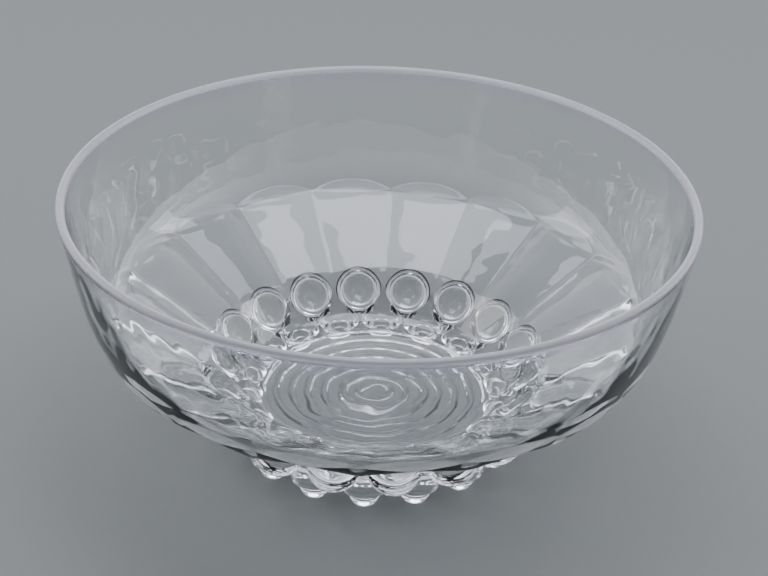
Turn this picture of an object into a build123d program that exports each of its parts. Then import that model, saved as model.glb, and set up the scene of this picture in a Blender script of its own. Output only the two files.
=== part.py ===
"""Pressed clear-glass mixing bowl with a fluted lower wall, a belt of beads and a ring of bead feet.

Millimetres, +Z up. The origin is on the table, at the middle of the ring of feet.
The bowl is one pressing. Each node is one zone of the mould, and zones meet face to face.
"""

import os
from math import atan2, cos, degrees, radians, sin, tan

from build123d import *

# Wall, outside. It flares down from the rim, turns at the knee and runs in as a cone to the shelf.
RIM_RADIUS = 115.0
HEIGHT = 103.0
FLARE_ANGLE = 8.4  # degrees off upright, at the rim
FLARE_PULL = 57.2  # how strongly the flare holds its line before the knee
KNEE_RADIUS = 90.0  # where the knee has become the cone
KNEE_PULL = 15.6  # how tightly the knee turns
CONE_SLOPE = 33.2  # degrees above level
SHELF_RADIUS = 66.7  # where the cone turns down into the bead belt
SHELF_HEIGHT = 27.1
SHELF_ROUND = 5.0
BASE_RADIUS = 50.5
BASE_UNDERSIDE = 8.7
BASE_ROUND = 3.0

# Glass
LIP_THICKNESS = 3.0
LIP_RISE = 1.2  # height of the fire-polished round on the lip
WALL_THICKNESS = 4.5
FLOOR_THICKNESS = 5.2
FLOOR_ROUND = 12.0  # where the inside of the floor turns up
INNER_SHELF_ROUND = 14.0

# Mould zones
LIP_ZONE = 6.0  # height of the lip zone
FLUTE_ZONE_TOP = 56.0
BELT_TOP = 31.0
DISC_RADIUS = 42.0

# Flutes, beads and feet share one count, and the feet stand half a pitch round from the beads.
COUNT = 18
FLUTE_DEPTH = 1.5  # at the knee; a flute is shallower below it, as it is narrower
RIDGE_HALF_ANGLE = 0.3  # half the width of the plain ridge left between two flutes, round the axis
BEAD_RADIUS = 10.0
BEAD_RING_RADIUS = 61.2
BEAD_HEIGHT = 21.65
FOOT_RING_RADIUS = 53.7
FOOT_TIP_RADIUS = 5.7  # of the round tip
FOOT_ROOT_RADIUS = 9.0  # where the foot flares into the glass
FOOT_ROOT_HEIGHT = 9.5
FOOT_FACE_RADIUS = 2.4  # the small flat face that a foot rests on

# Rings under the floor
RING_COUNT = 7
RING_SPACING = 6.44
RING_RADIUS = 3.0  # of the round ridge
RING_PROUD = 0.7

PITCH = 360.0 / COUNT
FRONT = -90.0  # foot_01 faces the front
CONE_RISE = tan(radians(CONE_SLOPE))
KNEE_HEIGHT = SHELF_HEIGHT + (KNEE_RADIUS - SHELF_RADIUS) * CONE_RISE
CONE_POINT_HEIGHT = SHELF_HEIGHT - SHELF_RADIUS * CONE_RISE
BELT_SLOPE = degrees(atan2(SHELF_HEIGHT - BASE_UNDERSIDE, SHELF_RADIUS - BASE_RADIUS))
FLOOR_HEIGHT = BASE_UNDERSIDE + FLOOR_THICKNESS
REACH = 2.0 * (RIM_RADIUS + HEIGHT)  # past the bowl in every direction
SCOOP_OVERRUN = 1.15  # how far past its flute's edges a scoop goes, clear of the glass
SIDE_HEIGHT = HEIGHT - LIP_RISE  # where the wall ends and the round of the lip begins


def along(point, slope, distance):
    """The point at a distance up a slope given in degrees above level."""
    return point + Vector(cos(radians(slope)), sin(radians(slope))) * distance


def inward(point, slope, distance):
    """The point at a distance square to a slope, towards the inside of the bowl."""
    return along(point, slope + 90.0, distance)


def at_height(point, slope, height):
    """Where a sloping line through a point reaches a height."""
    return Vector(point.X + (height - point.Y) / tan(radians(slope)), height)


def crossing(first, first_slope, second, second_slope):
    """Where two sloping lines meet."""
    first_rise = tan(radians(first_slope))
    second_rise = tan(radians(second_slope))
    across = second.Y - first.Y + first_rise * first.X - second_rise * second.X
    radius = across / (first_rise - second_rise)
    return Vector(radius, first.Y + first_rise * (radius - first.X))


def wall_curve(rim, knee, flare_pull, knee_pull):
    """The flare and the knee, as one curve from the rim to the cone."""
    return Bezier(rim, along(rim, -90.0 - FLARE_ANGLE, flare_pull), along(knee, CONE_SLOPE, knee_pull), knee)


# Outside corners of the section, as radius and height
outer_rim = Vector(RIM_RADIUS, SIDE_HEIGHT)
outer_knee = Vector(KNEE_RADIUS, KNEE_HEIGHT)
outer_shelf = Vector(SHELF_RADIUS, SHELF_HEIGHT)
outer_base = Vector(BASE_RADIUS, BASE_UNDERSIDE)
outer_middle = Vector(0, BASE_UNDERSIDE)

# Inside corners, a wall thickness in from the outside
inner_rim = Vector(RIM_RADIUS - LIP_THICKNESS, SIDE_HEIGHT)
inner_knee = inward(outer_knee, CONE_SLOPE, WALL_THICKNESS)
inner_belt = inward(outer_shelf, BELT_SLOPE, WALL_THICKNESS)
inner_shelf = crossing(inner_knee, CONE_SLOPE, inner_belt, BELT_SLOPE)
inner_floor = at_height(inner_belt, BELT_SLOPE, FLOOR_HEIGHT)
inner_middle = Vector(0, FLOOR_HEIGHT)
INNER_FLARE_PULL = FLARE_PULL - WALL_THICKNESS
INNER_KNEE_PULL = KNEE_PULL - WALL_THICKNESS / 2

# The section of the glass, without flutes, beads or feet
with BuildSketch(Plane.XZ) as glass_section:
    with BuildLine():
        wall_curve(outer_rim, outer_knee, FLARE_PULL, KNEE_PULL)
        FilletPolyline(outer_knee, outer_shelf, outer_base, outer_middle, radius=[SHELF_ROUND, BASE_ROUND])
        Line(outer_middle, inner_middle)
        FilletPolyline(inner_middle, inner_floor, inner_shelf, inner_knee, radius=[FLOOR_ROUND, INNER_SHELF_ROUND])
        wall_curve(inner_rim, inner_knee, INNER_FLARE_PULL, INNER_KNEE_PULL)
        ThreePointArc(inner_rim, Vector(RIM_RADIUS - LIP_THICKNESS / 2, HEIGHT), outer_rim)
    make_face()

# The same outside, filled to the axis
with BuildSketch(Plane.XZ) as filled_section:
    with BuildLine():
        wall_curve(outer_rim, outer_knee, FLARE_PULL, KNEE_PULL)
        FilletPolyline(outer_knee, outer_shelf, outer_base, outer_middle, radius=[SHELF_ROUND, BASE_ROUND])
        Line(outer_middle, Vector(0, SIDE_HEIGHT))
        Line(Vector(0, SIDE_HEIGHT), outer_rim)
    make_face()

# Round ridges under the floor, each sunk until only its crown stands proud
with BuildSketch(Plane.XZ) as ring_section:
    with Locations(*[(RING_SPACING * turn, BASE_UNDERSIDE + RING_RADIUS - RING_PROUD)
                     for turn in range(1, RING_COUNT + 1)]):
        Circle(RING_RADIUS)


def save(piece, name):
    """Label a finished piece and write it as its own node."""
    piece.label = name
    export_step(piece, f"parts/{name}.step")


def keep_band(low, high):
    """Keep what lies between two heights."""
    with Locations((0, 0, (low + high) / 2)):
        Cylinder(REACH, high - low, mode=Mode.INTERSECT)


os.makedirs("parts", exist_ok=True)

# Rim lip: the fire-polished edge
with BuildPart() as rim_lip:
    revolve(glass_section.sketch, axis=Axis.Z)
    keep_band(HEIGHT - LIP_ZONE, REACH)
save(rim_lip.part, "rim_lip")

# Upper wall: the plain flare below the lip
with BuildPart() as upper_wall:
    revolve(glass_section.sketch, axis=Axis.Z)
    keep_band(FLUTE_ZONE_TOP, HEIGHT - LIP_ZONE)
save(upper_wall.part, "upper_wall")


def scoop_section(radius):
    """The mould's cut across one flute, square to the cone where the cone has this radius.

    Its arc rises into the glass and comes out of it just short of the ridges, half a pitch either side.
    """
    slope = radians(CONE_SLOPE)
    turn = radians(PITCH / 2 - RIDGE_HALF_ANGLE)
    edge_radius = radius / (cos(turn) * cos(slope) ** 2 + sin(slope) ** 2)
    half_width = edge_radius * sin(turn)
    edge_rise = edge_radius * (1 - cos(turn)) * sin(slope)
    rise = FLUTE_DEPTH * radius / KNEE_RADIUS
    arc_radius = (half_width**2 + (rise - edge_rise) ** 2) / (2 * (rise - edge_rise))
    wide = half_width * SCOOP_OVERRUN
    wide_rise = rise - arc_radius + (arc_radius**2 - wide**2) ** 0.5
    height = CONE_POINT_HEIGHT + radius * CONE_RISE
    plane = Plane(origin=(radius, 0, height), x_dir=(0, 1, 0), z_dir=(cos(slope), 0, sin(slope)))
    with BuildSketch(plane) as section:
        with BuildLine():
            ThreePointArc((-wide, wide_rise), (0, rise), (wide, wide_rise))
            Polyline((wide, wide_rise), (wide, -WALL_THICKNESS), (-wide, -WALL_THICKNESS), (-wide, wide_rise))
        make_face()
    return section.sketch


# One scoop along the cone, from the shelf to past the knee
with BuildPart() as scoop:
    loft([scoop_section(SHELF_RADIUS), scoop_section(RIM_RADIUS)], ruled=True)


def press_flutes():
    """Take one scoop out of the glass above each bead."""
    with PolarLocations(0, COUNT, start_angle=FRONT + PITCH / 2):
        add(scoop.part, mode=Mode.SUBTRACT)


# Fluted wall: the knee and the cone, with one flute above each bead
with BuildPart() as fluted_wall:
    revolve(glass_section.sketch, axis=Axis.Z)
    keep_band(BELT_TOP, FLUTE_ZONE_TOP)
    press_flutes()
save(fluted_wall.part, "fluted_wall")

# Bead belt: the foot of the flutes, and the steep wall and edge of the floor that carry beads and feet
with BuildPart() as bead_belt:
    revolve(glass_section.sketch, axis=Axis.Z)
    revolve(ring_section.sketch, axis=Axis.Z)
    keep_band(0, BELT_TOP)
    Cylinder(DISC_RADIUS, REACH, mode=Mode.SUBTRACT)
    press_flutes()
save(bead_belt.part, "bead_belt")

# Base disc: the flat floor, with its rings underneath
with BuildPart() as base_disc:
    revolve(glass_section.sketch, axis=Axis.Z)
    revolve(ring_section.sketch, axis=Axis.Z)
    Cylinder(DISC_RADIUS, REACH, mode=Mode.INTERSECT)
save(base_disc.part, "base_disc")

# The whole outside, filled: what a bead or a foot is cut back to
with BuildPart() as filled_bowl:
    revolve(filled_section.sketch, axis=Axis.Z)
    revolve(ring_section.sketch, axis=Axis.Z)
    press_flutes()


# One bead, out from under the glass
with BuildPart() as first_bead:
    with Locations((BEAD_RING_RADIUS, 0, BEAD_HEIGHT)):
        Sphere(BEAD_RADIUS)
    add(filled_bowl.part.rotate(Axis.Z, -(FRONT + PITCH / 2)), mode=Mode.SUBTRACT)

# One foot: a round tip with a small flat face to rest on, flaring out to its root under the glass.
# Its section is drawn about its own axis, as distance from that axis and height.
foot_tip_height = (FOOT_TIP_RADIUS**2 - FOOT_FACE_RADIUS**2) ** 0.5
foot_tip_middle = (FOOT_TIP_RADIUS + FOOT_FACE_RADIUS) / 2
foot_arc_height = foot_tip_height - (FOOT_TIP_RADIUS**2 - foot_tip_middle**2) ** 0.5
foot_flare = (FOOT_ROOT_HEIGHT - foot_tip_height) / 2
foot_plane = Plane(origin=(FOOT_RING_RADIUS, 0, 0), x_dir=(1, 0, 0), z_dir=(0, -1, 0))
with BuildSketch(foot_plane) as foot_section:
    with BuildLine():
        Line((0, 0), (FOOT_FACE_RADIUS, 0))
        ThreePointArc(
            (FOOT_FACE_RADIUS, 0), (foot_tip_middle, foot_arc_height), (FOOT_TIP_RADIUS, foot_tip_height)
        )
        Bezier(
            (FOOT_TIP_RADIUS, foot_tip_height),
            (FOOT_TIP_RADIUS, foot_tip_height + foot_flare),
            (FOOT_ROOT_RADIUS, FOOT_ROOT_HEIGHT - foot_flare),
            (FOOT_ROOT_RADIUS, FOOT_ROOT_HEIGHT),
        )
        Polyline(
            (FOOT_ROOT_RADIUS, FOOT_ROOT_HEIGHT), (FOOT_ROOT_RADIUS, HEIGHT / 2), (0, HEIGHT / 2), (0, 0)
        )
    make_face()

with BuildSketch() as foot_wedge:
    with BuildLine():
        Polyline(
            (0, 0),
            (REACH * cos(radians(PITCH / 2)), -REACH * sin(radians(PITCH / 2))),
            (REACH * cos(radians(PITCH / 2)), REACH * sin(radians(PITCH / 2))),
            close=True,
        )
    make_face()

with BuildPart() as first_foot:
    revolve(foot_section.sketch, axis=Axis((FOOT_RING_RADIUS, 0, 0), (0, 0, 1)))
    extrude(foot_wedge.sketch, amount=REACH, mode=Mode.INTERSECT)
    add(filled_bowl.part.rotate(Axis.Z, -FRONT), mode=Mode.SUBTRACT)
    with PolarLocations(BEAD_RING_RADIUS, 2, start_angle=-PITCH / 2, angular_range=2 * PITCH):
        with Locations((0, 0, BEAD_HEIGHT)):
            Sphere(BEAD_RADIUS, mode=Mode.SUBTRACT)

# Every bead and every foot, each as its own node
for number, place in enumerate(PolarLocations(0, COUNT, start_angle=FRONT + PITCH / 2), start=1):
    with BuildPart() as bead:
        with Locations(place):
            add(first_bead.part)
    save(bead.part, f"bead_{number:02d}")

for number, place in enumerate(PolarLocations(0, COUNT, start_angle=FRONT), start=1):
    with BuildPart() as foot:
        with Locations(place):
            add(first_foot.part)
    save(foot.part, f"foot_{number:02d}")
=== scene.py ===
"""Clear pressed-glass mixing bowl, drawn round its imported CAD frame.

The bowl is one pressing. It is shaped here as one skin and parted into the same zones as the CAD. Each zone
is a mesh of its own, with hidden joint faces that carry no finish, so light crosses them as it crosses whole
glass.
"""

from collections import namedtuple
from functools import lru_cache
from math import atan2, cos, pi, radians, sin, tan
from typing import NamedTuple

import bpy
import numpy as np
from bpy.props import FloatProperty, IntProperty, PointerProperty, StringProperty
from mathutils import Matrix, Vector


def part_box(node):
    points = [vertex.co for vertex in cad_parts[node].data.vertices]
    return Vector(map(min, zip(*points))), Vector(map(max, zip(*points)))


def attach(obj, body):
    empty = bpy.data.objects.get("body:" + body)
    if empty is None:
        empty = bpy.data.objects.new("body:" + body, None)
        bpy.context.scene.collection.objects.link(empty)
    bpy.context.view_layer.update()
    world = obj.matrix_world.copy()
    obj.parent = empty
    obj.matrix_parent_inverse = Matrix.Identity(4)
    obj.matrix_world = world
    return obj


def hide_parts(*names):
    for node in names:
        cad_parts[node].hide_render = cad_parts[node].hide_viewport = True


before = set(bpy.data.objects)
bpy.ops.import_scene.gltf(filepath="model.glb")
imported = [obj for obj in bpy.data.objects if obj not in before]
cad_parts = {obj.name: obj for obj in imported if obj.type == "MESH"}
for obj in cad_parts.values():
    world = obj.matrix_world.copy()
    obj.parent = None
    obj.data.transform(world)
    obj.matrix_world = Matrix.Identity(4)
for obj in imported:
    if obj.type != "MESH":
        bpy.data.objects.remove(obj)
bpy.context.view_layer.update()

bl_info = {
    "name": "Pressed-Glass Bowl",
    "version": (1, 0, 0),
    "blender": (4, 5, 0),
    "location": "View3D > Sidebar > Glass Bowl",
    "description": "Builds a fluted and beaded mixing bowl in clear pressed glass, with its studio",
    "category": "Add Mesh",
}

MM = 0.001
CAD_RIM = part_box("rim_lip")[1]
CAD_FLUTE_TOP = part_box("fluted_wall")[1].z
CAD_BELT_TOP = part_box("bead_belt")[1].z
CAD_DISC_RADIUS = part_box("base_disc")[1].x

# Zones of the pressing, as the tag that each face of the skin carries
LIP, UPPER, FLUTED, BELT, DISC, BEAD, FOOT, CORE = range(8)
WALL_PIECES = {
    "rim_lip": (LIP, "rim_glass"),
    "upper_wall": (UPPER, "wall_glass"),
    "fluted_wall": (FLUTED, "flute_glass"),
    "bead_belt": (BELT, "belt_glass"),
    "base_disc": (DISC, "base_glass"),
}

# Small rounds and details that a user would leave alone
SHELF_ROUND, BASE_ROUND = 5.0 * MM, 3.0 * MM
FLOOR_ROUND, INNER_SHELF_ROUND = 12.0 * MM, 14.0 * MM
RIDGE_HALF_ANGLE = radians(0.3)
RIDGE_SOFTNESS = 0.35 * MM
FLUTE_FADE = 3.0 * MM
CORE_SINK = 2.0 * MM
FOOT_ROOT_HEIGHT = 9.5 * MM
FOOT_TOP_BELOW_FLUTES = 8.0 * MM
DOT_WIDTH = 0.32 * MM
# Depth of the lip's top band, roughened as wear and whitened as a painted highlight
LIP_WORN_AND_HIGHLIT_BAND = 2.6 * MM
CREASE = radians(32)
WELD = 0.002 * MM


# Sizes and colours a user would change

class GlassBowlSizes(bpy.types.PropertyGroup):
    """Sizes of the bowl."""

    rim_radius: FloatProperty(
        name="Rim radius", description="From the axis to the outside of the rim",
        default=CAD_RIM.x, min=0.05, unit="LENGTH")
    height: FloatProperty(
        name="Height", description="From the table to the top of the lip",
        default=CAD_RIM.z, min=0.03, unit="LENGTH")
    lip_zone: FloatProperty(
        name="Lip zone", description="Height of the fire-polished band at the rim",
        default=6.0 * MM, unit="LENGTH")
    lip_thickness: FloatProperty(
        name="Lip thickness", description="Glass at the rim", default=3.0 * MM, unit="LENGTH")
    lip_rise: FloatProperty(
        name="Lip rise", description="Height of the round on the lip", default=1.2 * MM, unit="LENGTH")
    wall: FloatProperty(
        name="Wall", description="Glass at the knee and below it", default=4.5 * MM, unit="LENGTH")
    flare_angle: FloatProperty(
        name="Flare angle", description="Lean of the wall off upright, at the rim",
        default=radians(8.4), unit="ROTATION")
    flare_pull: FloatProperty(
        name="Flare pull", description="How strongly the flare holds its line before the knee",
        default=57.2 * MM, unit="LENGTH")
    knee_radius: FloatProperty(
        name="Knee radius", description="Where the knee has become the cone",
        default=90.0 * MM, unit="LENGTH")
    knee_pull: FloatProperty(
        name="Knee pull", description="How tightly the knee turns", default=15.6 * MM, unit="LENGTH")
    cone_slope: FloatProperty(
        name="Cone slope", description="Slope of the fluted cone above level",
        default=radians(33.2), unit="ROTATION")
    shelf_radius: FloatProperty(
        name="Shelf radius", description="Where the cone turns down into the bead belt",
        default=66.7 * MM, unit="LENGTH")
    shelf_height: FloatProperty(
        name="Shelf height", description="Height of that turn", default=27.1 * MM, unit="LENGTH")
    base_radius: FloatProperty(
        name="Base radius", description="Where the belt turns into the flat underside",
        default=50.5 * MM, unit="LENGTH")
    underside: FloatProperty(
        name="Underside", description="Height of the flat underside", default=8.7 * MM, unit="LENGTH")
    floor: FloatProperty(
        name="Floor", description="Glass in the flat floor", default=5.2 * MM, unit="LENGTH")
    flute_top: FloatProperty(
        name="Flute zone top", description="Top of the fluted zone", default=CAD_FLUTE_TOP, unit="LENGTH")
    belt_top: FloatProperty(
        name="Belt top", description="Top of the bead belt", default=CAD_BELT_TOP, unit="LENGTH")
    disc_radius: FloatProperty(
        name="Disc radius", description="Edge of the base disc", default=CAD_DISC_RADIUS, unit="LENGTH")
    count: IntProperty(
        name="Count", description="Flutes, beads and feet, each", default=18, min=6, max=36)
    flute_depth: FloatProperty(
        name="Flute depth", description="Depth of a flute at the knee", default=1.5 * MM, unit="LENGTH")
    bead_radius: FloatProperty(
        name="Bead radius", description="Radius of a bead", default=10.0 * MM, unit="LENGTH")
    bead_ring: FloatProperty(
        name="Bead ring", description="From the axis to the middle of a bead",
        default=61.2 * MM, unit="LENGTH")
    bead_height: FloatProperty(
        name="Bead height", description="Height of the middle of a bead", default=21.65 * MM, unit="LENGTH")
    foot_ring: FloatProperty(
        name="Foot ring", description="From the axis to the middle of a foot",
        default=53.7 * MM, unit="LENGTH")
    foot_tip: FloatProperty(
        name="Foot tip", description="Radius of a foot's round tip", default=5.7 * MM, unit="LENGTH")
    foot_root: FloatProperty(
        name="Foot root", description="Radius where a foot meets the glass", default=9.0 * MM, unit="LENGTH")
    foot_face: FloatProperty(
        name="Foot face", description="Radius of the face that a foot rests on",
        default=2.4 * MM, unit="LENGTH")
    dot_count: IntProperty(
        name="Foot dots", description="Tiny dots round the face of a foot", default=18, min=6, max=32)
    dot_height: FloatProperty(
        name="Dot height", description="How far a dot stands proud", default=0.35 * MM, unit="LENGTH")
    ring_count: IntProperty(
        name="Rings", description="Rings under the floor", default=7, min=1, max=12)
    ring_spacing: FloatProperty(
        name="Ring spacing", description="From ring to ring", default=6.44 * MM, unit="LENGTH")
    ring_proud: FloatProperty(
        name="Ring height", description="How far a ring stands proud", default=0.7 * MM, unit="LENGTH")
    ring_half_width: FloatProperty(
        name="Ring half width", description="From a ring's crown to its edge",
        default=2.3 * MM, unit="LENGTH")


class GlassBowlFinish(bpy.types.PropertyGroup):
    """Colours and finish of the glass."""

    glass: StringProperty(
        name="Glass", description="sRGB hex of the clear glass", default="#F8FAFA")
    # Tints the rim's glass, and is the colour of the painted highlight that whitens the top of the lip
    rim_glass: StringProperty(
        name="Rim glass", description="sRGB hex of the glass at the rim, seen edge on", default="#F4F3FA")
    ior: FloatProperty(
        name="IOR", description="Refractive index of soda-lime glass", default=1.52, min=1.0, max=2.0)
    floor: StringProperty(
        name="Floor", description="sRGB hex of the plain table top", default="#6C6F6C")


class GlassBowlStage(bpy.types.PropertyGroup):
    """Camera and studio."""

    azimuth: FloatProperty(
        name="Camera azimuth", description="Round from the front foot towards the right",
        default=radians(2.46), unit="ROTATION")
    elevation: FloatProperty(
        name="Camera elevation", description="Above level, seen from the middle of the rim",
        default=radians(26.56), unit="ROTATION")
    distance: FloatProperty(
        name="Camera distance", description="From the middle of the rim",
        default=498.5 * MM, unit="LENGTH")
    tilt: FloatProperty(
        name="Camera tilt", description="How far below the middle of the rim it looks",
        default=radians(4.30), unit="ROTATION")
    pan: FloatProperty(
        name="Camera pan", description="How far right of the middle of the rim it looks",
        default=radians(0.28), unit="ROTATION")
    roll: FloatProperty(
        name="Camera roll", description="Lean of the camera", default=radians(1.9), unit="ROTATION")
    lens: FloatProperty(
        name="Lens", description="Focal length in millimetres, on a sensor 36 mm wide", default=64.5)


# Sections, as rows of (radius, height)

def unit(vector):
    return vector / np.hypot(*vector)


def heading(slope):
    """The direction of a slope above level, as radius and height."""
    return np.array((cos(slope), sin(slope)))


def bezier(start, start_pull, end_pull, end, steps):
    """A curve that leaves its start towards one pull point and reaches its end from the other."""
    t = np.linspace(0, 1, steps + 1)[:, None]
    left = 1 - t
    return left**3 * start + 3 * left**2 * t * start_pull + 3 * left * t**2 * end_pull + t**3 * end


def rounded(corners, radii, steps):
    """A line through the corners, with every inner corner rounded to its radius."""
    rows = [corners[0]]
    for before, corner, after, radius in zip(corners, corners[1:], corners[2:], radii):
        back, on = unit(before - corner), unit(after - corner)
        half = np.arccos(np.clip(back @ on, -1, 1)) / 2
        centre = corner + unit(back + on) * radius / sin(half)
        first = corner + back * radius / tan(half) - centre
        last = corner + on * radius / tan(half) - centre
        sweep = pi - 2 * half
        for t in np.linspace(0, 1, steps + 1):
            rows.append(centre + (sin((1 - t) * sweep) * first + sin(t * sweep) * last) / sin(sweep))
    return np.array(rows + [corners[-1]])


def divided(rows, longest):
    """The same rows, with steps between them cut down to a longest length."""
    parts = [rows[:1]]
    for start, end in zip(rows, rows[1:]):
        steps = max(1, int(np.ceil(np.hypot(*(end - start)) / longest)))
        parts.append(start + (end - start) * np.linspace(0, 1, steps + 1)[1:, None])
    return np.concatenate(parts)


def with_height(rows, height):
    """The same rows, with one more where they cross a height."""
    for index, (start, end) in enumerate(zip(rows, rows[1:])):
        if (start[1] - height) * (end[1] - height) < 0:
            level = start + (end - start) * (height - start[1]) / (end[1] - start[1])
            return np.insert(rows, index + 1, level, axis=0)
    return rows


def crossing(first, first_slope, second, second_slope):
    """Where two sloping lines meet."""
    rise, other = tan(first_slope), tan(second_slope)
    radius = (second[1] - first[1] + rise * first[0] - other * second[0]) / (rise - other)
    return np.array((radius, first[1] + rise * (radius - first[0])))


def outside_rows(s):
    """The outside of the wall, from the edge of the flat underside up to the rim."""
    rim = np.array((s.rim_radius, s.height - s.lip_rise))
    knee = np.array((s.knee_radius, s.shelf_height + (s.knee_radius - s.shelf_radius) * tan(s.cone_slope)))
    shelf = np.array((s.shelf_radius, s.shelf_height))
    base = np.array((s.base_radius, s.underside))
    flare = bezier(rim, rim + heading(-pi / 2 - s.flare_angle) * s.flare_pull,
                   knee + heading(s.cone_slope) * s.knee_pull, knee, 90)
    lower = rounded(np.array((knee, shelf, base, (0.0, s.underside))), (SHELF_ROUND, BASE_ROUND), 8)
    lower = divided(lower[:-1], 1.5 * MM)
    rows = np.concatenate((flare, lower[1:]))
    for height in (s.height - s.lip_zone, s.flute_top, s.belt_top):
        rows = with_height(rows, height)
    return rows[::-1]


def underside_rows(s, edge):
    """The flat underside with its rings, from just off the axis out to its edge."""
    radii = [1.5 * MM, 3.5 * MM, s.disc_radius, edge]
    for ring in range(1, s.ring_count + 1):
        radii += list(ring * s.ring_spacing + np.linspace(-1.25, 1.25, 15) * s.ring_half_width)
    radii = np.array(sorted(radii))
    radii = radii[(radii > 0) & (radii <= edge)]
    off_crown = np.abs((radii + s.ring_spacing / 2) % s.ring_spacing - s.ring_spacing / 2)
    on_ring = (off_crown < s.ring_half_width) & (radii > s.ring_spacing / 2)
    proud = np.where(on_ring, s.ring_proud * np.cos(off_crown / s.ring_half_width * pi / 2) ** 2, 0)
    return np.stack((radii, s.underside - proud), axis=1)


def inside_rows(s):
    """The inside, from just off the axis out over the floor and up to the rim."""
    belt_slope = atan2(s.shelf_height - s.underside, s.shelf_radius - s.base_radius)
    inward_of_cone, inward_of_belt = heading(s.cone_slope + pi / 2), heading(belt_slope + pi / 2)
    knee = np.array((s.knee_radius, s.shelf_height + (s.knee_radius - s.shelf_radius) * tan(s.cone_slope)))
    knee = knee + inward_of_cone * s.wall
    belt = np.array((s.shelf_radius, s.shelf_height)) + inward_of_belt * s.wall
    top = s.underside + s.floor
    shelf = crossing(knee, s.cone_slope, belt, belt_slope)
    edge = np.array((belt[0] + (top - belt[1]) / tan(belt_slope), top))
    rim = np.array((s.rim_radius - s.lip_thickness, s.height - s.lip_rise))
    lower = rounded(np.array(((2.0 * MM, top), edge, shelf, knee)), (FLOOR_ROUND, INNER_SHELF_ROUND), 12)
    lower = divided(lower, 6.0 * MM)
    lower = np.insert(lower, np.searchsorted(lower[:, 0], s.disc_radius), (s.disc_radius, top), axis=0)
    flare = bezier(rim, rim + heading(-pi / 2 - s.flare_angle) * (s.flare_pull - s.wall),
                   knee + heading(s.cone_slope) * (s.knee_pull - s.wall / 2), knee, 60)
    rows = np.concatenate((lower, flare[::-1][1:]))
    for height in (s.belt_top, s.flute_top, s.height - s.lip_zone):
        rows = with_height(rows, height)
    return rows


def lip_rows(s):
    """The round of the lip, from outside to inside."""
    half = s.lip_thickness / 2
    radius = (half**2 + s.lip_rise**2) / (2 * s.lip_rise)
    turn = np.arcsin(half / radius)
    swing = np.linspace(turn, -turn, 13)[1:-1]
    middle = s.rim_radius - half
    return np.stack((middle + radius * np.sin(swing), s.height - radius + radius * np.cos(swing)), axis=1)


# Skins: closed grids of points round an axis

def column_angles(s):
    """Angles of the columns, close together at the ridges between the flutes."""
    within = (1 - np.cos(np.linspace(0, pi, 21)[:-1])) / 2
    return -pi / 2 + ((np.arange(s.count)[:, None] + within) * 2 * pi / s.count).ravel()


def flute_slope(s, angles):
    """Radius over height above the cone's point, at each angle: smallest at the middle of a flute.

    A flute's floor is part of a round bar that narrows towards the cone's own point.
    """
    slope, turn = s.cone_slope, pi / s.count - RIDGE_HALF_ANGLE
    edge = 1 / (cos(turn) * cos(slope) ** 2 + sin(slope) ** 2)
    half_width, edge_rise = edge * sin(turn), edge * (1 - cos(turn)) * sin(slope)
    rise = s.flute_depth / s.knee_radius
    bar = (half_width**2 + (rise - edge_rise) ** 2) / (2 * (rise - edge_rise))
    across = np.linspace(-half_width, half_width, 81)
    up = rise - bar + np.sqrt(bar**2 - across**2)
    at = np.arctan2(across, 1 - up * sin(slope))
    ratio = np.hypot(across, 1 - up * sin(slope)) / (tan(slope) + up * cos(slope))
    off_middle = (angles + pi / 2) % (2 * pi / s.count) - pi / s.count
    return np.interp(off_middle, at, ratio)


def fluted(s, rows, angles):
    """Radius of every point outside, once the flutes are pressed in."""
    radius, height = rows[:, :1], rows[:, 1:]
    above_point = height - (s.shelf_height - s.shelf_radius * tan(s.cone_slope))
    cone = above_point / tan(s.cone_slope)
    clear_of_cone = np.maximum(cone - radius, 0)
    bite = cone - flute_slope(s, angles) * above_point - clear_of_cone
    bite = (bite + np.sqrt(bite**2 + RIDGE_SOFTNESS**2)) / 2
    fade = np.clip((height - s.shelf_height + FLUTE_FADE / 2) / FLUTE_FADE, 0, 1)
    return radius - bite * fade**2 * (3 - 2 * fade)


def grid(radius, height, angles):
    """Points at every row and column."""
    radius = np.broadcast_to(radius, (len(radius), len(angles)))
    height = np.broadcast_to(height, radius.shape)
    return np.stack((radius * np.cos(angles), radius * np.sin(angles), height), axis=2)


def skin(points, bottom, top, tags, name):
    """A closed mesh over rows of points, with a point on the axis at each end.

    Tags are one for each step from row to row, and one more at each end.
    """
    rows, columns = points.shape[:2]
    here = np.arange(columns)
    after = (here + 1) % columns
    faces = [[0, 1 + b, 1 + a] for a, b in zip(here, after)]
    marks = [tags[0]] * columns
    for row in range(rows - 1):
        low, high = 1 + row * columns, 1 + (row + 1) * columns
        faces += np.stack((low + here, low + after, high + after, high + here), axis=1).tolist()
        marks += [tags[row + 1]] * columns
    last, pole = 1 + (rows - 1) * columns, 1 + rows * columns
    faces += [[last + a, last + b, pole] for a, b in zip(here.tolist(), after.tolist())]
    marks += [tags[-1]] * columns
    mesh = bpy.data.meshes.new(name)
    mesh.from_pydata(np.concatenate(([bottom], points.reshape(-1, 3), [top])).tolist(), [], faces)
    mesh.attributes.new("zone", "INT", "FACE").data.foreach_set("value", marks)
    return mesh


def zone_of(s, start, end):
    """Which zone a step of the wall's section lies in."""
    radius, height = (start + end) / 2
    if height > s.height - s.lip_zone:
        return LIP
    if height > s.flute_top:
        return UPPER
    if height > s.belt_top:
        return FLUTED
    return BELT if radius > s.disc_radius else DISC


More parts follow.
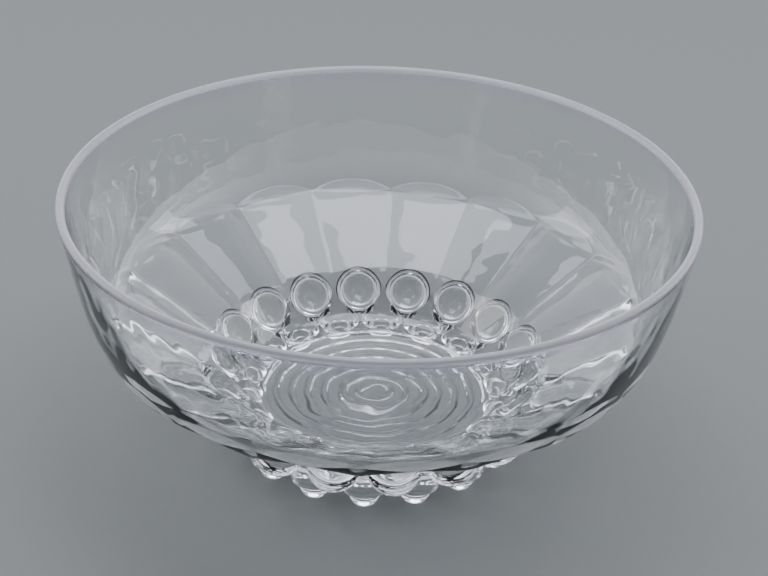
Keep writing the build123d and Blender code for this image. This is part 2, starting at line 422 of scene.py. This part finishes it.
def wall_skin(s):
    """The whole wall and floor as one closed mesh, and the joint rows between its zones."""
    angles = column_angles(s)
    outside = outside_rows(s)
    under = underside_rows(s, outside[0][0])[:-1]
    outer = np.concatenate((under, outside))
    lip, inside = lip_rows(s), inside_rows(s)[::-1]
    rows = np.concatenate((outer, lip, inside))
    radius = np.concatenate((np.broadcast_to(under[:, :1], (len(under), len(angles))),
                             fluted(s, outside, angles),
                             np.broadcast_to(np.concatenate((lip, inside))[:, :1],
                                             (len(lip) + len(inside), len(angles)))))
    points = grid(radius, rows[:, 1:], angles)
    tags = [DISC] + [zone_of(s, a, b) for a, b in zip(rows, rows[1:])] + [DISC]
    mesh = skin(points, (0, 0, s.underside), (0, 0, s.underside + s.floor), tags, "wall_skin")
    joints = {}
    for row, (below, above) in enumerate(zip(tags, tags[1:])):
        if below != above:
            joints.setdefault(tuple(sorted((below, above))), []).append(points[row])
    return mesh, joints


def core_skin(s):
    """The outside of the wall, filled and sunk into the glass.

    Beads and feet are first cut back to this, so that they end inside the wall.
    """
    angles = column_angles(s)
    outside = outside_rows(s)
    outside = outside[outside[:, 1] < s.flute_top]
    under = np.array(((20.0 * MM, s.underside), (40.0 * MM, s.underside)))
    radius = np.concatenate((np.broadcast_to(under[:, :1], (2, len(angles))), fluted(s, outside, angles)))
    height = np.concatenate((under, outside))[:, 1:] + CORE_SINK
    points = grid(radius, height, angles)
    tags = [CORE] * (len(points) + 1)
    return skin(points, (0, 0, s.underside + CORE_SINK), (0, 0, height[-1, 0]), tags, "core_skin")


def peg_mesh(rows, bottom, top, segments, tag, name, ring, bumps=None):
    """A round peg standing on a ring about the bowl's axis, at the front."""
    angles = np.arange(segments) * 2 * pi / segments
    points = grid(rows[:, :1], rows[:, 1:], angles)
    if bumps is not None:
        points = bumps(points, angles)
    mesh = skin(points, (0, 0, bottom), (0, 0, top), [tag] * (len(rows) + 1), name)
    mesh.transform(Matrix.Translation((ring, 0, 0)))
    return mesh


def bead_ball(s):
    """A round bead."""
    swing = np.linspace(0, pi, 53)[1:-1]
    rows = np.stack((s.bead_radius * np.sin(swing), s.bead_height - s.bead_radius * np.cos(swing)), axis=1)
    return peg_mesh(rows, s.bead_height - s.bead_radius, s.bead_height + s.bead_radius, 72, BEAD,
                    "bead_ball", s.bead_ring)


def foot_peg(s):
    """A round tip with a small face ringed by dots, flaring to its root in the glass."""
    middle = np.sqrt(s.foot_tip**2 - s.foot_face**2)
    start = np.arcsin(s.foot_face / s.foot_tip)
    swing = np.linspace(start, pi / 2, 25)
    tip = np.stack((s.foot_tip * np.sin(swing), middle - s.foot_tip * np.cos(swing)), axis=1)
    pull = (FOOT_ROOT_HEIGHT - middle) / 2
    flare = bezier(tip[-1], tip[-1] + (0, pull), np.array((s.foot_root, FOOT_ROOT_HEIGHT - pull)),
                   np.array((s.foot_root, FOOT_ROOT_HEIGHT)), 12)
    top = s.flute_top - FOOT_TOP_BELOW_FLUTES
    face = np.array([(share * s.foot_face, 0.0) for share in (0.3, 0.6, 0.8, 0.9)])
    shank = np.array([(s.foot_root, height) for height in np.linspace(FOOT_ROOT_HEIGHT, top, 8)[1:]])
    rows = np.concatenate((face, tip, flare[1:], shank))

    def dotted(points, angles):
        """Dots on the edge of the face, which itself stands back by their height."""
        from_edge = (np.hypot(points[..., 0], points[..., 1]) - s.foot_face * 1.1) / DOT_WIDTH
        near = np.exp(-(from_edge**2)) * (points[..., 2] < middle)
        raised = np.maximum(np.cos(angles * s.dot_count), 0)[None, :] * near
        flat = np.clip(1 - points[..., 2] / (1.0 * MM), 0, 1)
        out = raised * s.dot_height
        lift = s.dot_height * (flat - raised)
        return points + np.stack((out * np.cos(angles), out * np.sin(angles), lift), axis=2)

    return peg_mesh(rows, s.dot_height, top, s.dot_count * 6, FOOT, "foot_peg", s.foot_ring, dotted)


# Joining and parting

def combined(first, second, operation):
    """A new mesh: the first joined with, cut by or kept within the second."""
    blank = bpy.data.objects.new("blank", first)
    tool = bpy.data.objects.new("tool", second)
    for each in (blank, tool):
        bpy.context.scene.collection.objects.link(each)
    cut = blank.modifiers.new("cut", "BOOLEAN")
    cut.operation, cut.solver, cut.object = operation, "MANIFOLD", tool
    bpy.context.view_layer.update()
    made = bpy.data.meshes.new_from_object(blank.evaluated_get(bpy.context.evaluated_depsgraph_get()))
    bpy.data.objects.remove(blank)
    bpy.data.objects.remove(tool)
    if not made.polygons:
        raise RuntimeError(f"nothing was left of {first.name} after {operation} with {second.name}")
    return made


class Patch(NamedTuple):
    """Faces of a skin: their points, and each face's corners, normals at the corners and zone."""

    points: np.ndarray
    faces: list
    normals: list
    zones: np.ndarray


def patch_of(mesh):
    """Every face of a mesh, shaded smooth except across real creases."""
    mesh.polygons.foreach_set("use_smooth", [True] * len(mesh.polygons))
    mesh.set_sharp_from_angle(angle=CREASE)
    points = np.empty(len(mesh.vertices) * 3)
    mesh.vertices.foreach_get("co", points)
    corners = np.empty(len(mesh.loops), int)
    mesh.loops.foreach_get("vertex_index", corners)
    normals = np.empty(len(mesh.loops) * 3)
    mesh.corner_normals.foreach_get("vector", normals)
    starts = np.empty(len(mesh.polygons), int)
    mesh.polygons.foreach_get("loop_start", starts)
    zones = np.empty(len(mesh.polygons), int)
    mesh.attributes["zone"].data.foreach_get("value", zones)
    return Patch(points.reshape(-1, 3), np.split(corners, starts[1:]),
                 np.split(normals.reshape(-1, 3), starts[1:]), zones)


def chosen(patch, keep):
    """The faces of a patch for which keep is true."""
    picked = np.flatnonzero(keep)
    return Patch(patch.points, [patch.faces[i] for i in picked], [patch.normals[i] for i in picked],
                 patch.zones[picked])


def turned(patch, angle):
    """A patch turned about the bowl's axis."""
    spin = np.array(((cos(angle), sin(angle), 0), (-sin(angle), cos(angle), 0), (0, 0, 1)))
    return patch._replace(points=patch.points @ spin, normals=[n @ spin for n in patch.normals])


def reversed_patch(patch):
    """A patch seen from its other side."""
    return patch._replace(faces=[f[::-1] for f in patch.faces], normals=[-n[::-1] for n in patch.normals])


def face_middles(patch):
    return np.array([patch.points[face].mean(axis=0) for face in patch.faces])


def band(start, end, zone):
    """A joint face between two rows of points."""
    count = len(start)
    here = np.arange(count)
    after = (here + 1) % count
    faces = list(np.stack((here, after, count + after, count + here), axis=1))
    points = np.concatenate((start, end))
    normals = []
    for face in faces:
        flat = np.cross(points[face[1]] - points[face[0]], points[face[3]] - points[face[0]])
        normals.append(np.broadcast_to(flat / np.linalg.norm(flat), (4, 3)))
    return Patch(points, faces, normals, np.full(count, zone))


# The property group's values, in a form that can be remembered
Sizes = namedtuple("Sizes", GlassBowlSizes.__annotations__)


def current_sizes(context):
    group = context.scene.glass_bowl_sizes
    return Sizes(*(getattr(group, name) for name in Sizes._fields))


def ring_of(mesh, count):
    """Copies of a mesh all round the bowl's axis, as one mesh."""
    points = np.empty(len(mesh.vertices) * 3)
    mesh.vertices.foreach_get("co", points)
    points = points.reshape(-1, 3)
    faces = [list(face.vertices) for face in mesh.polygons]
    marks = np.empty(len(mesh.polygons), int)
    mesh.attributes["zone"].data.foreach_get("value", marks)
    turns = [np.array(Matrix.Rotation(2 * pi * number / count, 3, "Z")).T for number in range(count)]
    ring = bpy.data.meshes.new(mesh.name + "_ring")
    copies = [[corner + number * len(points) for corner in face] for number in range(count) for face in faces]
    ring.from_pydata(np.concatenate([points @ turn for turn in turns]).tolist(), [], copies)
    ring.attributes.new("zone", "INT", "FACE").data.foreach_set("value", np.tile(marks, count))
    return ring


@lru_cache(maxsize=1)
def pressed(s):
    """Presses the bowl. Returns, for each piece, its seen patches and its hidden joint patches."""
    wall, joints = wall_skin(s)
    core = core_skin(s)
    pitch = 2 * pi / s.count
    bead, foot = (combined(peg(s), core, "DIFFERENCE") for peg in (bead_ball, foot_peg))
    for mesh, start in ((bead, -pi / 2 + pitch / 2), (foot, -pi / 2)):
        mesh.transform(Matrix.Rotation(start, 4, "Z"))
    beads, feet = ring_of(bead, s.count), ring_of(foot, s.count)
    whole = patch_of(combined(combined(wall, beads, "UNION"), feet, "UNION"))
    bead_alone = patch_of(combined(bead, wall, "DIFFERENCE"))
    foot_alone = patch_of(combined(combined(foot, beads, "DIFFERENCE"), wall, "DIFFERENCE"))

    middles = face_middles(whole)
    around = np.arctan2(middles[:, 1], middles[:, 0])
    nearest = {BEAD: np.rint((around + pi / 2) / pitch - 0.5) % s.count,
               FOOT: np.rint((around + pi / 2) / pitch) % s.count}
    bead_joint = chosen(bead_alone, bead_alone.zones != BEAD)
    foot_joint = chosen(foot_alone, foot_alone.zones != FOOT)
    foot_on_bead = chosen(foot_joint, foot_joint.zones == BEAD)
    side = face_middles(foot_on_bead)[:, 0] > 0
    foot_right, foot_left = chosen(foot_on_bead, side), chosen(foot_on_bead, ~side)

    pieces = {}
    for name, (zone, _) in WALL_PIECES.items():
        hidden = []
        for (low, high), rows in joints.items():
            if zone in (low, high):
                flat = band(rows[0], rows[1], zone)
                hidden.append(flat if zone == low else reversed_patch(flat))
        for number in range(s.count):
            for joint in (bead_joint, foot_joint):
                here = chosen(joint, joint.zones == zone)
                if here.faces:
                    hidden.append(reversed_patch(turned(here, number * pitch)))
        pieces[name] = [chosen(whole, whole.zones == zone)], hidden
    for number in range(s.count):
        seen = chosen(whole, (whole.zones == BEAD) & (nearest[BEAD] == number))
        hidden = [turned(bead_joint, number * pitch),
                  reversed_patch(turned(foot_right, number * pitch)),
                  reversed_patch(turned(foot_left, (number + 1) * pitch))]
        pieces[f"bead_{number + 1:02d}"] = [seen], hidden
        seen = chosen(whole, (whole.zones == FOOT) & (nearest[FOOT] == number))
        pieces[f"foot_{number + 1:02d}"] = [seen], [turned(foot_joint, number * pitch)]
    return pieces


def make_piece(context, name, finish, joint):
    """One piece of the pressing, seen faces and joint faces welded together, in place of its CAD node."""
    seen, hidden = pressed(current_sizes(context))[name]
    points, faces, normals, skins = [], [], [], []
    shift = 0
    for patches, index in ((seen, 0), (hidden, 1)):
        for patch in patches:
            points.append(patch.points)
            faces += [face + shift for face in patch.faces]
            normals += patch.normals
            skins += [index] * len(patch.faces)
            shift += len(patch.points)
    points = np.concatenate(points)
    _, first, welded = np.unique(np.round(points / WELD).astype(np.int64), axis=0, return_index=True,
                                 return_inverse=True)
    welded = welded.ravel()
    used = np.unique(welded[np.concatenate(faces)])
    slim = np.full(len(first), -1)
    slim[used] = np.arange(len(used))
    final_faces, final_normals, final_skins = [], [], []
    for face, normal, index in zip(faces, normals, skins):
        corners = slim[welded[face]]
        keep = corners != np.roll(corners, 1)
        if len(set(corners[keep].tolist())) == keep.sum() >= 3:
            final_faces.append(corners[keep].tolist())
            final_normals.append(normal[keep])
            final_skins.append(index)
    mesh = bpy.data.meshes.new(f"{name}_glass")
    mesh.from_pydata(points[first[used]].tolist(), [], final_faces)
    mesh.polygons.foreach_set("use_smooth", [index == 0 for index in final_skins])
    mesh.polygons.foreach_set("material_index", final_skins)
    mesh.normals_split_custom_set(np.concatenate(final_normals).tolist())
    mesh.materials.append(finish)
    mesh.materials.append(joint)
    piece = bpy.data.objects.new(f"{name}_glass", mesh)
    context.scene.collection.objects.link(piece)
    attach(piece, "root")
    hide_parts(name)


# Materials

def linear(hex_colour):
    """An sRGB hex colour as linear RGBA."""
    parts = [int(hex_colour.lstrip("#")[i:i + 2], 16) / 255 for i in (0, 2, 4)]
    return tuple(p / 12.92 if p <= 0.04045 else ((p + 0.055) / 1.055) ** 2.4 for p in parts) + (1.0,)


def per_metre(millimetres):
    """The texture scale at which one feature is that many millimetres across."""
    return 1000.0 / millimetres


def node(tree, kind, settings=None, inputs=None, links=None):
    """Adds a node, with its settings, its socket values and the sockets that feed it."""
    made = tree.nodes.new(kind)
    for name, value in (settings or {}).items():
        setattr(made, name, value)
    for name, value in (inputs or {}).items():
        made.inputs[name].default_value = value
    for name, source in (links or {}).items():
        tree.links.new(source, made.inputs[name])
    return made


def glass_material(context, name, colour, wave_mm, wave_depth_mm, haze_mm, haze, worn_above=None):
    """Clear soda-lime glass: long shallow waves from the pressing, and a faint uneven haze from handling.

    Above a height, if one is given, fine scratches from wiping and stacking dull it, and a whitened band
    there is a painted highlight.
    """
    finish = context.scene.glass_bowl_finish
    material = bpy.data.materials.new(name)
    material.use_nodes = True
    tree = material.node_tree
    tree.nodes.clear()
    where = node(tree, "ShaderNodeTexCoord").outputs["Object"]
    waves = node(tree, "ShaderNodeTexNoise",
                 inputs={"Scale": per_metre(wave_mm), "Detail": 1.0, "Roughness": 0.4},
                 links={"Vector": where})
    bump = node(tree, "ShaderNodeBump", inputs={"Strength": 1.0, "Distance": wave_depth_mm * MM},
                links={"Height": waves.outputs["Fac"]})
    smears = node(tree, "ShaderNodeTexNoise", inputs={"Scale": per_metre(haze_mm), "Detail": 3.0},
                  links={"Vector": where})
    rough = node(tree, "ShaderNodeMapRange",
                 inputs={"From Min": 0.35, "From Max": 0.75, "To Min": 0.0, "To Max": haze},
                 links={"Value": smears.outputs["Fac"]})
    varying = {"Roughness": rough.outputs["Result"], "Normal": bump.outputs["Normal"]}
    if worn_above is not None:
        height = node(tree, "ShaderNodeSeparateXYZ", links={"Vector": where}).outputs["Z"]
        fade = {"From Min": worn_above, "From Max": worn_above + 1.0 * MM}
        worn = node(tree, "ShaderNodeMapRange", inputs={**fade, "To Max": 0.4}, links={"Value": height})
        # Above the height less light passes through, so the base colour shows as a whitened band: a painted
        # highlight along the lip.
        clear = node(tree, "ShaderNodeMapRange", inputs={**fade, "To Min": 1.0, "To Max": 0.75},
                     links={"Value": height})
        both = node(tree, "ShaderNodeMath", {"operation": "ADD"},
                    links={0: rough.outputs["Result"], 1: worn.outputs["Result"]})
        varying["Roughness"] = both.outputs["Value"]
        varying["Transmission Weight"] = clear.outputs["Result"]
    surface = node(tree, "ShaderNodeBsdfPrincipled",
                   inputs={"Base Color": linear(colour), "Metallic": 0.0, "IOR": finish.ior,
                           "Transmission Weight": 1.0},
                   links=varying)
    node(tree, "ShaderNodeOutputMaterial", links={"Surface": surface.outputs["BSDF"]})
    return material


def joint_material():
    """Glass against glass inside one pressing: there is no surface there, so nothing shows."""
    found = bpy.data.materials.get("fused_glass_joint")
    if found:
        return found
    material = bpy.data.materials.new("fused_glass_joint")
    material.use_nodes = True
    tree = material.node_tree
    tree.nodes.clear()
    surface = node(tree, "ShaderNodeBsdfPrincipled", inputs={"Alpha": 0.0})
    node(tree, "ShaderNodeOutputMaterial", links={"Surface": surface.outputs["BSDF"]})
    return material


# Operators

class GLASSBOWL_OT_rim_lip(bpy.types.Operator):
    """Make the rounded, fire-polished lip"""

    bl_idname = "glassbowl.rim_lip"
    bl_label = "Rim Lip"

    def execute(self, context):
        # Fire-polished soda-lime glass: the flame leaves it smooth, with only a slow waver round the edge.
        # Its top is roughened by wear and whitened as a painted highlight, which makes it the palest line on
        # the bowl.
        finish = glass_material(context, "fire_polished_glass", context.scene.glass_bowl_finish.rim_glass,
                                wave_mm=18, wave_depth_mm=0.05, haze_mm=9, haze=0.03,
                                worn_above=context.scene.glass_bowl_sizes.height - LIP_WORN_AND_HIGHLIT_BAND)
        make_piece(context, "rim_lip", finish, joint_material())
        return {"FINISHED"}


class GLASSBOWL_OT_walls(bpy.types.Operator):
    """Make the plain wall, the fluted wall, the bead belt and the base disc"""

    bl_idname = "glassbowl.walls"
    bl_label = "Walls and Floor"

    def execute(self, context):
        colour = context.scene.glass_bowl_finish.glass
        # Plain pressed wall: long, very shallow waves that bend what is seen through it.
        wall = glass_material(context, "pressed_wall_glass", colour,
                              wave_mm=15, wave_depth_mm=0.30, haze_mm=14, haze=0.03)
        # Fluted wall: the mould's chill leaves shorter ripples.
        flutes = glass_material(context, "pressed_flute_glass", colour,
                                wave_mm=13, wave_depth_mm=0.20, haze_mm=10, haze=0.04)
        # Bead belt: thick glass between the beads, smooth inside.
        belt = glass_material(context, "pressed_belt_glass", colour,
                              wave_mm=10, wave_depth_mm=0.03, haze_mm=8, haze=0.04)
        # Floor: flat glass over rings, marked a little by use.
        base = glass_material(context, "pressed_base_glass", colour,
                              wave_mm=16, wave_depth_mm=0.05, haze_mm=6, haze=0.05)
        finishes = {"upper_wall": wall, "fluted_wall": flutes, "bead_belt": belt, "base_disc": base}
        for name, finish in finishes.items():
            make_piece(context, name, finish, joint_material())
        return {"FINISHED"}


class GLASSBOWL_OT_beads(bpy.types.Operator):
    """Make the row of beads"""

    bl_idname = "glassbowl.beads"
    bl_label = "Beads"

    def execute(self, context):
        # Beads: glossy round glass that acts as a lens, with only a slight waver.
        finish = glass_material(context, "pressed_bead_glass", context.scene.glass_bowl_finish.glass,
                                wave_mm=9, wave_depth_mm=0.02, haze_mm=5, haze=0.03)
        for number in range(1, context.scene.glass_bowl_sizes.count + 1):
            make_piece(context, f"bead_{number:02d}", finish, joint_material())
        return {"FINISHED"}


class GLASSBOWL_OT_feet(bpy.types.Operator):
    """Make the ring of feet"""

    bl_idname = "glassbowl.feet"
    bl_label = "Feet"

    def execute(self, context):
        # Feet: glossy above, with the finest of grain where they have stood on tables.
        finish = glass_material(context, "pressed_foot_glass", context.scene.glass_bowl_finish.glass,
                                wave_mm=6, wave_depth_mm=0.02, haze_mm=3, haze=0.06)
        for number in range(1, context.scene.glass_bowl_sizes.count + 1):
            make_piece(context, f"foot_{number:02d}", finish, joint_material())
        return {"FINISHED"}


class GLASSBOWL_OT_stage(bpy.types.Operator):
    """Make the floor, the lights and the camera"""

    bl_idname = "glassbowl.stage"
    bl_label = "Stage"

    def execute(self, context):
        scene = context.scene
        make_floor(context)
        make_lights(context)
        make_camera(context)
        # Light crosses many faces in pressed glass, so paths through it are let run long.
        scene.cycles.max_bounces = 48
        scene.cycles.transmission_bounces = 48
        scene.cycles.transparent_max_bounces = 96
        return {"FINISHED"}


def make_floor(context):
    """A flat, round, plain table top, wide enough to fill the view."""
    angles = np.linspace(0, 2 * pi, 97)[:-1]
    radii = np.array((0.2, 0.5, 1.0, 1.6, 2.2, 3.5, 6.0))[:, None]
    points = grid(radii, np.zeros_like(radii), angles)
    count = len(angles)
    faces = [[0, 1 + j, 1 + (j + 1) % count] for j in range(count)]
    for row in range(len(radii) - 1):
        low, high = 1 + row * count, 1 + (row + 1) * count
        faces += [[low + j, high + j, high + (j + 1) % count, low + (j + 1) % count] for j in range(count)]
    mesh = bpy.data.meshes.new("table_top")
    mesh.from_pydata([(0, 0, 0)] + points.reshape(-1, 3).tolist(), [], faces)
    mesh.polygons.foreach_set("use_smooth", [True] * len(faces))
    # Matt painted board: even, with a faint mottle. A real one is too fine to show, so it is 4 mm across.
    material = bpy.data.materials.new("matt_painted_board")
    material.use_nodes = True
    tree = material.node_tree
    tree.nodes.clear()
    where = node(tree, "ShaderNodeTexCoord").outputs["Object"]
    mottle = node(tree, "ShaderNodeTexNoise", inputs={"Scale": per_metre(4), "Detail": 4.0},
                  links={"Vector": where})
    shade = linear(context.scene.glass_bowl_finish.floor)
    darker, lighter = (tuple(min(1.0, c * share) for c in shade[:3]) + (1.0,) for share in (0.97, 1.03))
    tone = node(tree, "ShaderNodeMix", {"data_type": "RGBA"}, inputs={"A": darker, "B": lighter},
                links={"Factor": mottle.outputs["Fac"]})
    bump = node(tree, "ShaderNodeBump", inputs={"Strength": 0.3, "Distance": 0.1 * MM},
                links={"Height": mottle.outputs["Fac"]})
    surface = node(tree, "ShaderNodeBsdfPrincipled", inputs={"Roughness": 0.8},
                   links={"Base Color": tone.outputs["Result"], "Normal": bump.outputs["Normal"]})
    node(tree, "ShaderNodeOutputMaterial", links={"Surface": surface.outputs["BSDF"]})
    mesh.materials.append(material)
    floor = bpy.data.objects.new("table_top", mesh)
    context.scene.collection.objects.link(floor)


def soft_box(context, name, place, size, watts, colour="#FFFFFF"):
    """A rectangular soft light that faces the bowl."""
    light = bpy.data.lights.new(name, "AREA")
    light.shape = "RECTANGLE"
    light.size, light.size_y = size
    light.energy = watts
    light.color = linear(colour)[:3]
    lamp = bpy.data.objects.new(name, light)
    lamp.location = place
    lamp.rotation_mode = "QUATERNION"
    lamp.rotation_quaternion = (Vector((0, 0, 0.05)) - Vector(place)).to_track_quat("-Z", "Y")
    context.scene.collection.objects.link(lamp)


def make_lights(context):
    """A large soft box overhead, two weaker ones at the sides, and a surround that brightens to the back."""
    soft_box(context, "overhead_soft_box", (0.05, 0.12, 1.1), (1.0, 0.6), 11, "#F1F2FF")
    soft_box(context, "left_soft_box", (-1.3, 0.1, 0.7), (0.5, 0.9), 5)
    soft_box(context, "right_soft_box", (1.3, 0.5, 0.6), (0.35, 0.8), 4)
    world = bpy.data.worlds.new("studio_surround")
    world.use_nodes = True
    tree = world.node_tree
    tree.nodes.clear()
    where = node(tree, "ShaderNodeTexCoord").outputs["Generated"]
    direction = node(tree, "ShaderNodeSeparateXYZ", links={"Vector": where})
    fade = node(tree, "ShaderNodeValToRGB", links={"Fac": direction.outputs["Z"]})
    for stop, position, colour in zip(fade.color_ramp.elements, (0.15, 0.75), ("#F6F5FF", "#767B84")):
        stop.position, stop.color = position, linear(colour)
    strength = node(tree, "ShaderNodeMapRange", {"interpolation_type": "SMOOTHSTEP"},
                    inputs={"From Min": -0.75, "From Max": 0.15, "To Min": 1.1, "To Max": 3.8},
                    links={"Value": direction.outputs["Y"]})
    glow = node(tree, "ShaderNodeBackground",
                links={"Color": fade.outputs["Color"], "Strength": strength.outputs["Result"]})
    node(tree, "ShaderNodeOutputWorld", links={"Surface": glow.outputs["Background"]})
    context.scene.world = world


def make_camera(context):
    """The camera, placed by angles and distance from the middle of the rim."""
    stage, sizes = context.scene.glass_bowl_stage, context.scene.glass_bowl_sizes
    level = cos(stage.elevation)
    away = Vector((sin(stage.azimuth) * level, -cos(stage.azimuth) * level, sin(stage.elevation)))
    camera = bpy.data.cameras.new("camera")
    camera.sensor_width = 36.0
    camera.lens = stage.lens
    camera.clip_start, camera.clip_end = 0.01, 20.0
    holder = bpy.data.objects.new("camera", camera)
    facing = (-away).to_track_quat("-Z", "Y").to_matrix()
    turn = Matrix.Rotation(-stage.pan, 3, "Y") @ Matrix.Rotation(-stage.tilt, 3, "X")
    turn = turn @ Matrix.Rotation(stage.roll, 3, "Z")
    place = Vector((0, 0, sizes.height)) + away * stage.distance
    holder.matrix_world = Matrix.Translation(place) @ (facing @ turn).to_4x4()
    context.scene.collection.objects.link(holder)
    context.scene.camera = holder


class GLASSBOWL_PT_panel(bpy.types.Panel):
    """Lists what the bowl is made of, with its sizes"""

    bl_idname = "GLASSBOWL_PT_panel"
    bl_label = "Glass Bowl"
    bl_space_type = "VIEW_3D"
    bl_region_type = "UI"
    bl_category = "Glass Bowl"

    def draw(self, context):
        layout = self.layout
        for operator in OPERATORS:
            layout.operator(operator.bl_idname)
        for group in (context.scene.glass_bowl_sizes, context.scene.glass_bowl_finish,
                      context.scene.glass_bowl_stage):
            box = layout.box()
            for name in group.__annotations__:
                box.prop(group, name)


OPERATORS = (GLASSBOWL_OT_rim_lip, GLASSBOWL_OT_walls, GLASSBOWL_OT_beads, GLASSBOWL_OT_feet,
             GLASSBOWL_OT_stage)
GROUPS = {
    "glass_bowl_sizes": GlassBowlSizes,
    "glass_bowl_finish": GlassBowlFinish,
    "glass_bowl_stage": GlassBowlStage,
}


def register():
    for each in (*GROUPS.values(), *OPERATORS, GLASSBOWL_PT_panel):
        bpy.utils.register_class(each)
    for name, group in GROUPS.items():
        setattr(bpy.types.Scene, name, PointerProperty(type=group))


def unregister():
    for name in GROUPS:
        delattr(bpy.types.Scene, name)
    for each in (GLASSBOWL_PT_panel, *reversed(OPERATORS), *reversed(GROUPS.values())):
        bpy.utils.unregister_class(each)


def main():
    register()
    bpy.ops.glassbowl.rim_lip()
    bpy.ops.glassbowl.walls()
    bpy.ops.glassbowl.beads()
    bpy.ops.glassbowl.feet()
    bpy.ops.glassbowl.stage()


if __name__ == "__main__":
    main()
